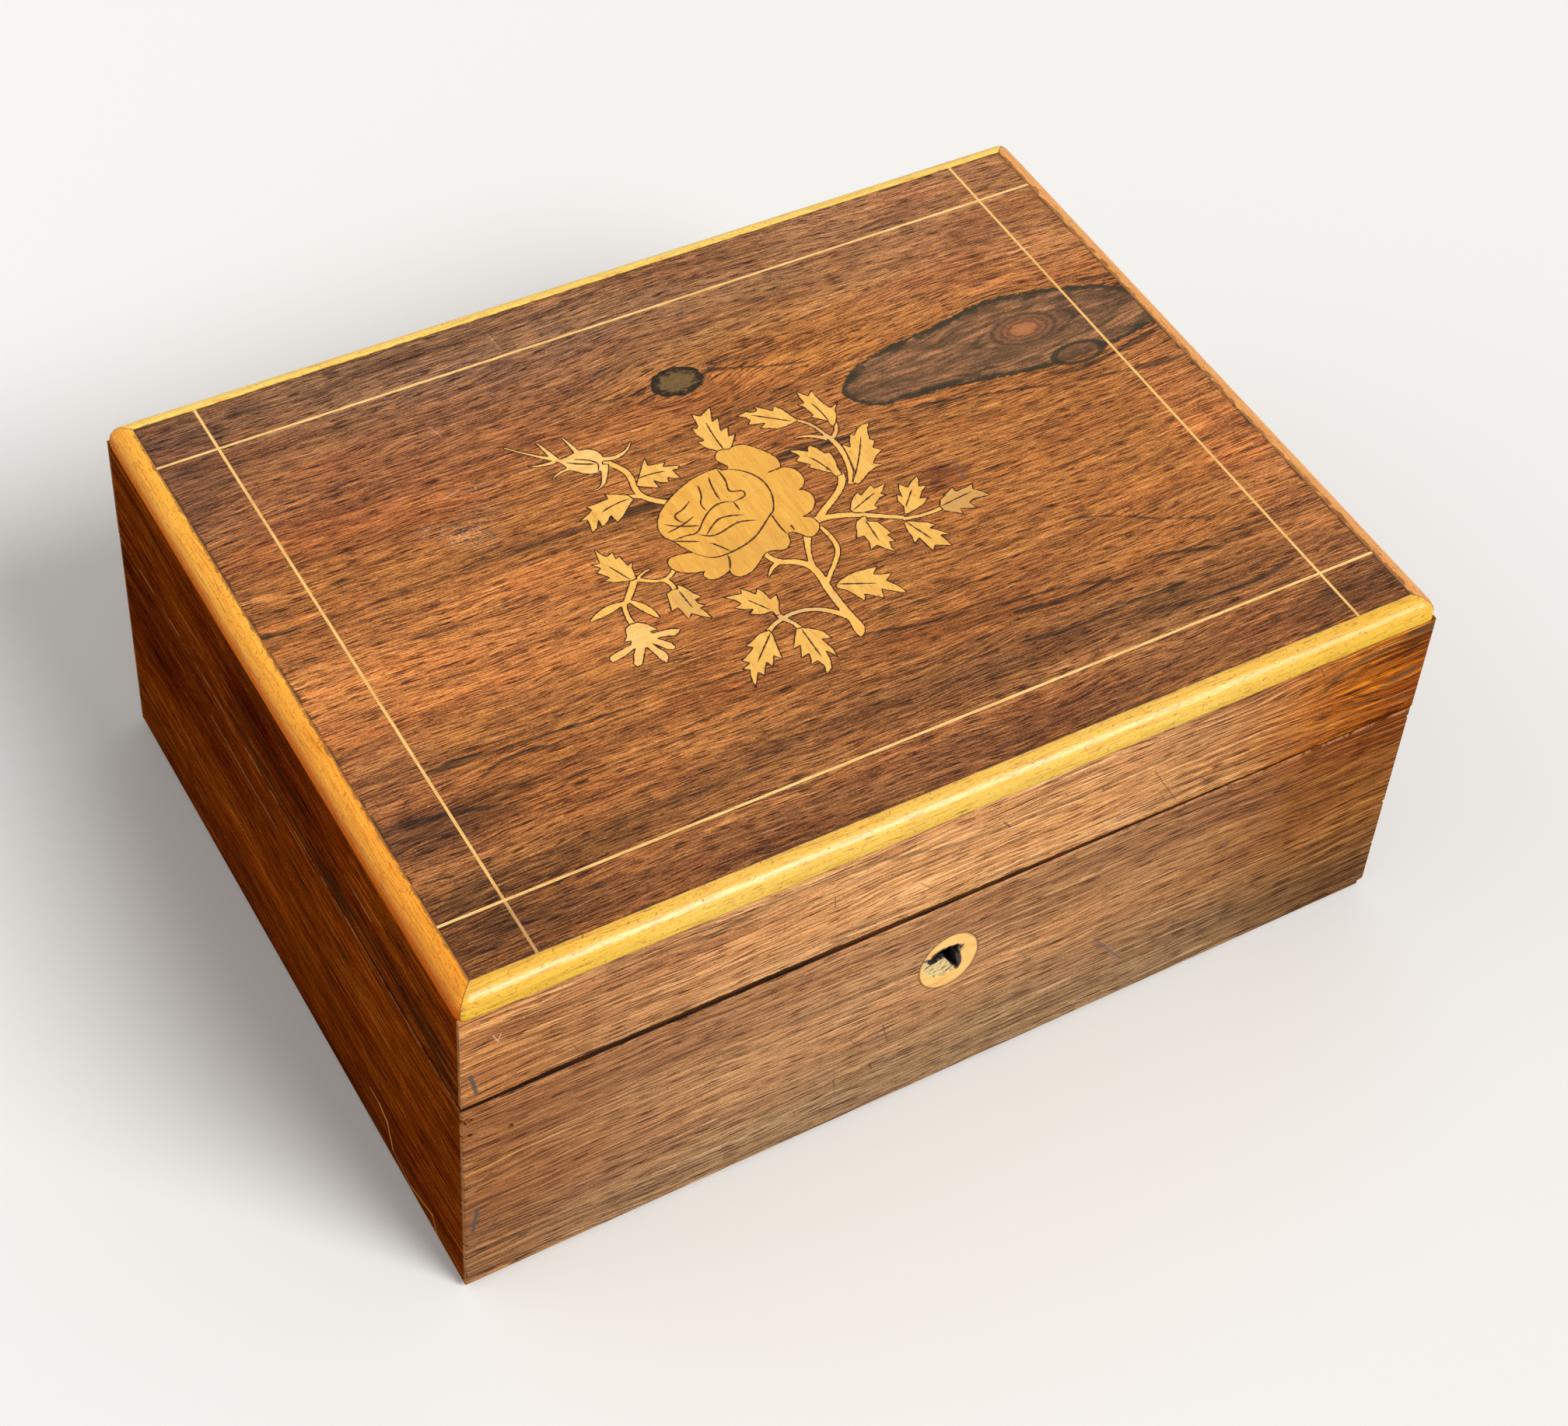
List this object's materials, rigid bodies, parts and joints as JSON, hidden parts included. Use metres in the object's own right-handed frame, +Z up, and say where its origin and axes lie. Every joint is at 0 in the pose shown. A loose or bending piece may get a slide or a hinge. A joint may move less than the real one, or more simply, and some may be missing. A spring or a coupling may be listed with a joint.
{
  "type": "glove box",
  "caption": "Antique rosewood box with a hinged lid, boxwood edging and a floral marquetry top; it stores gloves and small keepsakes behind a small lock.",
  "frame": {"origin": "centre of the underside, on the surface that the box stands on", "axes": "+X along the box's width, the front with the keyhole faces -Y, +Z up"},
  "size_m": [0.25, 0.1923, 0.1044],
  "materials": {
    "rosewood": "worn french polish",
    "carcase_wood": "plain, unpolished",
    "boxwood": "polished, aged yellow",
    "brass": "dull, aged",
    "steel": "dark, aged",
    "baize": "felted",
    "velvet": "short pile"
  },
  "bodies": {
    "carcase": {"carcase_front": "carcase_wood", "carcase_back": "carcase_wood", "carcase_left": "carcase_wood", "carcase_right": "carcase_wood", "base_board": "carcase_wood", "base_baize": "baize", "veneer_front": "rosewood", "veneer_back": "rosewood", "veneer_left": "rosewood", "veneer_right": "rosewood", "escutcheon": "boxwood", "lock_plate": "brass", "lock_cap": "brass", "lock_key_pin": "steel", "lock_spring": "steel", "lock_screws": "brass", "lining_front": "velvet", "lining_back": "velvet", "lining_left": "velvet", "lining_right": "velvet", "base_pad": "velvet", "hinge_leaf_lower_left": "brass", "hinge_leaf_lower_right": "brass", "hinge_pin_left": "steel", "hinge_pin_right": "steel", "hinge_screws_lower": "brass"},
    "lid": {"hinge_leaf_upper_left": "brass", "hinge_leaf_upper_right": "brass", "hinge_screws_upper": "brass", "lock_link": "brass", "lock_link_screws": "brass", "lid_rail_front": "carcase_wood", "lid_rail_back": "carcase_wood", "lid_rail_left": "carcase_wood", "lid_rail_right": "carcase_wood", "lid_board": "carcase_wood", "lid_veneer_front": "rosewood", "lid_veneer_back": "rosewood", "lid_veneer_left": "rosewood", "lid_veneer_right": "rosewood", "lid_veneer_top": "rosewood", "edging_front": "boxwood", "edging_back": "boxwood", "edging_left": "boxwood", "edging_right": "boxwood", "stringing_front": "boxwood", "stringing_back": "boxwood", "stringing_left": "boxwood", "stringing_right": "boxwood", "marquetry_rose": "boxwood", "marquetry_leaves": "boxwood", "marquetry_stems": "boxwood", "marquetry_buds": "boxwood", "lid_side_lining": "velvet", "lid_pad": "velvet"},
    "bolt": {"lock_bolt": "brass"}
  },
  "joints": [
    {"name": "lid_hinge", "type": "hinge", "parent": "carcase", "child": "lid", "pos_m": [0, 0.095, 0.0678], "axis": [-1, 0, 0], "range_deg": [0, 95]},
    {"name": "bolt_slide", "type": "slide", "parent": "carcase", "child": "bolt", "axis": [-1, 0, 0], "range_m": [0, 0.0044]}
  ]
}
